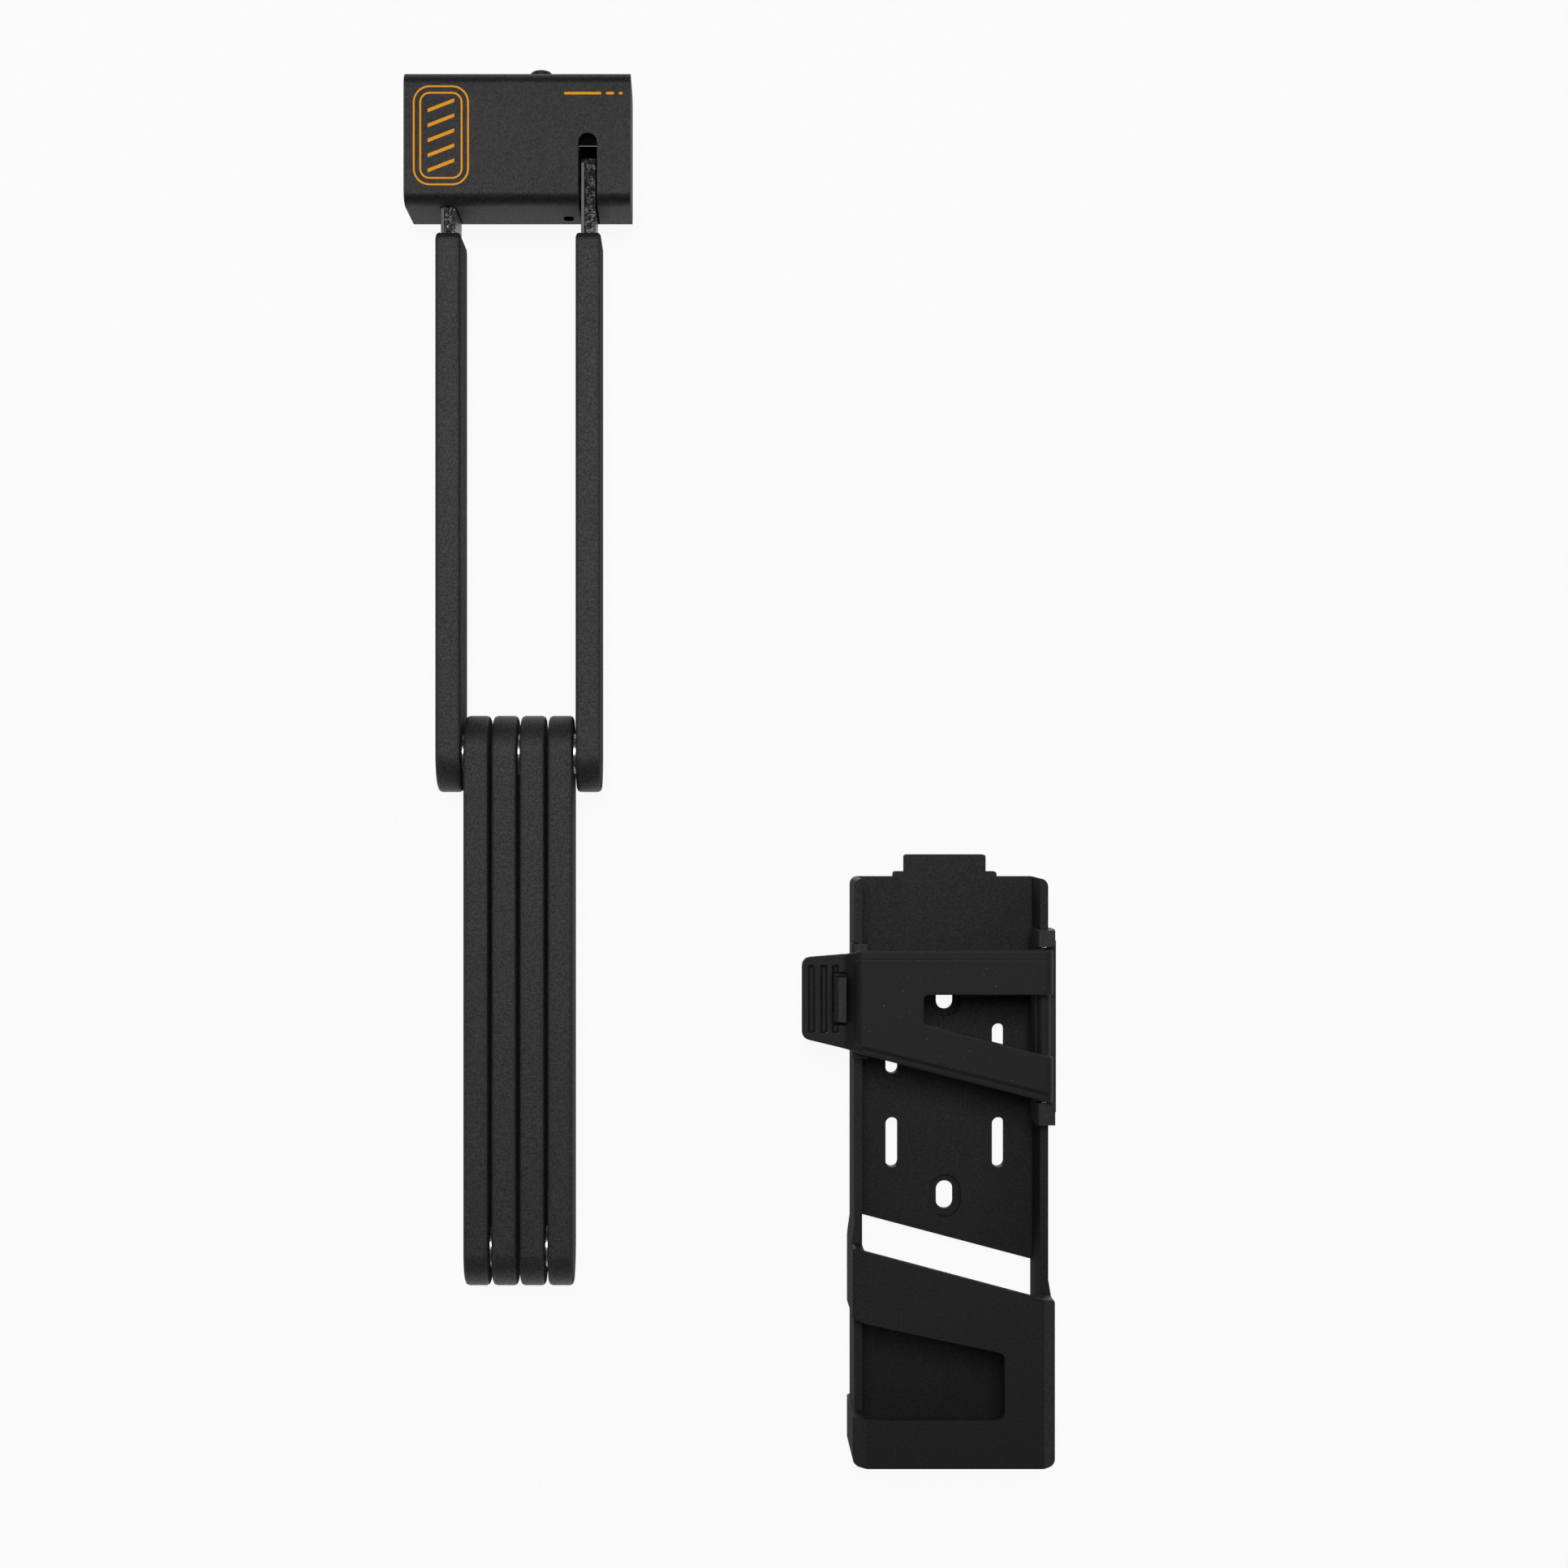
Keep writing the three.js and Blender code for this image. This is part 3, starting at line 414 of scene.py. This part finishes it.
def applyAll(piece):
    graph = bpy.context.evaluated_depsgraph_get()
    made = bpy.data.meshes.new_from_object(piece.evaluated_get(graph))
    piece.modifiers.clear()
    piece.data = made


# A bevel puts its faces in material slot 1. They carry edge = 1 and the others 0, so that wear and
# the painted edge highlight stay off the flats beside them, and the slot goes again
def markEdges(mesh):
    edge = mesh.attributes.new("edge", "FLOAT", "CORNER")
    for face in mesh.polygons:
        for corner in face.loop_indices:
            edge.data[corner].value = face.material_index
        face.material_index = 0
    mesh.materials.pop(index=1)


# Lengths in mm and angles in degrees
edgeShape = {"segments": 3, "sharpAbove": 34, "weld": 0.01, "flatWithin": 1}
edgeWidths = {
    "housing_shell": 0.35, "end_cap_left": 0.3, "end_cap_right": 0.3, "push_button": 0.2,
    "core_block": 0.35, "keeper_bush": 0.2, "cylinder_barrel": 0.2, "key_plug": 0.15,
    "bracket_body": 0.4, "hook_clip": 0.3, "strap_clip": 0.7,
}
for n in range(1, 7):
    edgeWidths[f"link_{n}_cover"] = 0.35
    edgeWidths[f"link_{n}_bar"] = 0.2
for n in range(1, 6):
    edgeWidths[f"spacer_{n}_{n + 1}"] = 0.25
    edgeWidths[f"rivet_{n}_{n + 1}"] = 0.15


# A finer twin of a frame node: flat faces joined, sharp edges rounded, curves shaded smooth
def refined(node, width, shape):
    mesh = frame["nodes"][node].data.copy()
    work = bmesh.new()
    work.from_mesh(mesh)
    bmesh.ops.remove_doubles(work, verts=work.verts, dist=shape["weld"] * mm)
    bmesh.ops.dissolve_limit(
        work, angle_limit=math.radians(shape["flatWithin"]), verts=work.verts, edges=work.edges
    )
    work.to_mesh(mesh)
    work.free()
    mesh.name = f"{node}_fine"
    piece = newPiece(f"{node}_fine", mesh, slotOf[node], bodyOf[node])
    sharpAbove = math.radians(shape["sharpAbove"])
    bevel = piece.modifiers.new("edges", "BEVEL")
    bevel.width = width * mm
    bevel.segments = shape["segments"]
    bevel.limit_method = "ANGLE"
    bevel.angle_limit = sharpAbove
    bevel.material = 1
    piece.data.materials.append(materials[slotOf[node]])
    applyAll(piece)
    markEdges(piece.data)
    piece.data.shade_smooth()
    piece.data.set_sharp_from_angle(angle=sharpAbove)
    flats = piece.modifiers.new("flats", "WEIGHTED_NORMAL")
    flats.keep_sharp = True
    flats.mode = "FACE_AREA_WITH_ANGLE"
    applyAll(piece)
    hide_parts(node)


for node, width in edgeWidths.items():
    refined(node, width, edgeShape)
for node in ("bolt", "anchor_pin", "strap_pin"):
    dress(frame["nodes"][node], slotOf[node])
print("frame nodes refined")


# Rubber strap: remeshed from its plain solid, so that every edge is soft
strapShape = {"voxel": 0.32, "softening": 3, "softness": 0.5}


def rubberStrap(shape):
    mesh = frame["nodes"]["strap"].data.copy()
    piece = newPiece("rubber_strap", mesh, "strap_rubber", "strap")
    remesh = piece.modifiers.new("skin", "REMESH")
    remesh.mode = "VOXEL"
    remesh.voxel_size = shape["voxel"] * mm
    soften = piece.modifiers.new("soften", "SMOOTH")
    soften.factor = shape["softness"]
    soften.iterations = shape["softening"]
    applyAll(piece)
    piece.data.shade_smooth()
    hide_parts("strap")


rubberStrap(strapShape)
print("strap ready")


# Coil spring under the button. How much of its length is left with the button fully in is worked
# out, but nothing shortens the coil
coilShape = {"turns": 6, "stepsPerTurn": 24, "wire": 0.5, "roundness": 3}


def buttonCoil(shape):
    low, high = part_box("button_spring")
    middle = (low + high) / 2
    inset = shape["wire"] / 2 * mm
    radius = middle.x - low.x - inset
    foot, length = low.y + inset, high.y - low.y - 2 * inset
    curve = bpy.data.curves.new("button_coil", "CURVE")
    curve.dimensions = "3D"
    curve.bevel_depth = inset
    curve.bevel_resolution = shape["roundness"]
    curve.use_fill_caps = True
    route = curve.splines.new("POLY")
    steps = shape["turns"] * shape["stepsPerTurn"]
    route.points.add(steps)
    for step, point in enumerate(route.points):
        turn = 2 * math.pi * step / shape["stepsPerTurn"]
        x, z = middle.x + radius * math.cos(turn), middle.z + radius * math.sin(turn)
        point.co = (x, foot + length * step / steps, z, 1)
    mesh = bpy.data.meshes.new_from_object(bpy.data.objects.new("button_coil_route", curve))
    mesh.shade_smooth()
    piece = newPiece("button_coil", mesh, "bright_steel", "housing")
    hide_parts("button_spring")
    travel = joints["button_press"]["range_m"][1]
    keep = 1 - travel / (high.y - low.y)
    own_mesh(piece)


buttonCoil(coilShape)
print("coil ready")


# Amber pinstripes on the housing's front: two nested frames with slanted bars between them, and a
# row of dashes. Lengths in mm from the front's lower left corner
ornament = {
    "left": 2.9, "right": 20.2, "foot": 5.6, "head": 36.4, "round": 5.2, "roundSteps": 10,
    "frames": 2, "step": 2.0, "line": 0.55, "bars": 5, "barSlant": 3.2,
    "dashes": (11.5, 2.6, 1.2), "dashGap": 1.4, "dashRise": 33.6, "dashRight": 67.6,
    "dashLine": 0.8, "dashRound": 0.45, "dashSteps": 4, "lift": 0.002, "thick": 0.06,
}


def roundedLoop(low, high, radius, steps):
    corners = [
        (high[0] - radius, high[1] - radius, 0), (low[0] + radius, high[1] - radius, 90),
        (low[0] + radius, low[1] + radius, 180), (high[0] - radius, low[1] + radius, 270),
    ]
    points = []
    for x, y, start in corners:
        for step in range(steps + 1):
            turn = math.radians(start + 90 * step / steps)
            points.append((x + radius * math.cos(turn), y + radius * math.sin(turn)))
    return points


# Thin print between an outer and an inner loop of as many points
def printedBand(work, outer, inner, base, thick):
    top = base + thick
    rows = []
    for loop, height in ((outer, base), (outer, top), (inner, top), (inner, base)):
        rows.append([work.verts.new((x, y, height)) for x, y in loop])
    count = len(outer)
    for i in range(count):
        j = (i + 1) % count
        for low, high in ((0, 1), (1, 2), (2, 3), (3, 0)):
            work.faces.new((rows[low][i], rows[low][j], rows[high][j], rows[high][i]))


def printedPatch(work, loop, base, thick):
    low = [work.verts.new((x, y, base)) for x, y in loop]
    high = [work.verts.new((x, y, base + thick)) for x, y in loop]
    work.faces.new(high)
    work.faces.new(list(reversed(low)))
    for i in range(len(loop)):
        j = (i + 1) % len(loop)
        work.faces.new((low[i], low[j], high[j], high[i]))


def amberOrnament(look):
    low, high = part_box("housing_shell")
    face = high.z + look["lift"] * mm
    thick = look["thick"] * mm
    line = look["line"]
    work = bmesh.new()

    def at(x, y):
        return (low.x + x * mm, low.y + y * mm)

    for ringNumber in range(look["frames"]):
        inset = look["step"] * ringNumber
        loops = []
        for grow in (0, line):
            a = at(look["left"] + inset + grow, look["foot"] + inset + grow)
            b = at(look["right"] - inset - grow, look["head"] - inset - grow)
            radius = (look["round"] - inset - grow) * mm
            loops.append(roundedLoop(a, b, radius, look["roundSteps"]))
        printedBand(work, loops[0], loops[1], face, thick)
    margin = look["frames"] * look["step"] + line
    left, right = look["left"] + margin, look["right"] - margin
    slant = look["barSlant"]
    room = look["head"] - look["foot"] - 2 * margin - slant
    for i in range(look["bars"]):
        y = look["foot"] + margin + room * i / (look["bars"] - 1)
        loop = [
            at(left, y - line), at(right, y + slant - line),
            at(right, y + slant + line), at(left, y + line),
        ]
        printedPatch(work, loop, face, thick)
    x = look["dashRight"]
    for length in reversed(look["dashes"]):
        a, b = at(x - length, look["dashRise"]), at(x, look["dashRise"] + look["dashLine"])
        radius = look["dashRound"] * (b[1] - a[1])
        printedPatch(work, roundedLoop(a, b, radius, look["dashSteps"]), face, thick)
        x -= length + look["dashGap"]
    mesh = bpy.data.meshes.new("amber_ornament")
    bmesh.ops.recalc_face_normals(work, faces=work.faces)
    work.to_mesh(mesh)
    work.free()
    newPiece("amber_ornament", mesh, "amber", "housing")


amberOrnament(ornament)
print("ornament ready")


# Table, lamps and camera
studio = {
    "lensGap": 0.70, "frameHeight": 0.4815, "aim": (0.016, -0.0067), "sideStep": -0.03,
    "skyStops": [(0.0, 0.94), (0.07, 0.94), (0.16, 0.09), (1.0, 0.11)],
    "floorTone": (0.82, 0.82, 0.82, 1), "floorGlow": 0.92, "floorSpan": 40.0,
    "floorLift": 0.0004,
}
lamps = [
    {"name": "ceiling_lamp", "at": (-0.06, 0.42, 1.5), "size": 0.6, "power": 11.3},
    {"name": "left_lamp", "at": (-1.05, 0.0, 0.95), "size": 1.0, "power": 1.9},
    {"name": "right_lamp", "at": (1.05, 0.0, 0.95), "size": 1.0, "power": 1.9},
]


# The camera, reflections and glass see the floor glow nearly white, with the object's shadow on it
def paleFloor(look):
    g = newMaterial("pale_table")
    seen = g.node("ShaderNodeLightPath", output="Is Camera Ray")
    for ray in ("Is Glossy Ray", "Is Transmission Ray"):
        seen = g.maths("MAXIMUM", seen, g.node("ShaderNodeLightPath", output=ray))
    matte = g.node("ShaderNodeBsdfDiffuse", inputs={"Color": look["floorTone"]})
    glow = g.node("ShaderNodeEmission", inputs={"Color": (1, 1, 1, 1), "Strength": 1.0})
    mixed = g.node(
        "ShaderNodeMixShader", inputs={0: seen * look["floorGlow"], 1: matte, 2: glow}
    )
    g.node("ShaderNodeOutputMaterial", inputs={"Surface": mixed})
    span = look["floorSpan"] / 2
    mesh = bpy.data.meshes.new("pale_table")
    corners = [(-span, -span), (span, -span), (span, span), (-span, span)]
    mesh.from_pydata([(x, y, -look["floorLift"]) for x, y in corners], [], [(0, 1, 2, 3)])
    mesh.materials.append(g.owner)
    floor = bpy.data.objects.new("pale_table", mesh)
    show(floor)


# A dim room with a bright horizon
def softRoom(look):
    g = Graph(bpy.data.worlds.new("soft_room"))
    rise = g.part(g.place("Generated"), "Z")
    shader = g.node("ShaderNodeBackground", inputs={"Color": g.ramp(rise, look["skyStops"])})
    g.node("ShaderNodeOutputWorld", inputs={"Surface": shader})
    bpy.context.scene.world = g.owner


def softLamp(look):
    data = bpy.data.lights.new(look["name"], "AREA")
    data.shape = "DISK"
    data.size = look["size"]
    data.energy = look["power"]
    lamp = bpy.data.objects.new(look["name"], data)
    lamp.location = look["at"]
    lamp.rotation_euler = (-Vector(look["at"])).to_track_quat("-Z", "Y").to_euler()
    show(lamp)


# The camera stands a little aside of its aim, and its lens is shifted back by as much
def overheadCamera(look):
    x, y = look["aim"]
    data = bpy.data.cameras.new("overhead_camera")
    data.angle = 2 * math.atan(look["frameHeight"] / 2 / look["lensGap"])
    data.shift_x = -look["sideStep"] / look["frameHeight"]
    camera = bpy.data.objects.new("overhead_camera", data)
    camera.location = (x + look["sideStep"], y, cadBounds[1][2] + look["lensGap"])
    show(camera)
    bpy.context.scene.camera = camera


paleFloor(studio)
softRoom(studio)
for look in lamps:
    softLamp(look)
overheadCamera(studio)
bpy.context.scene.view_settings.view_transform = "Standard"
print("studio ready")
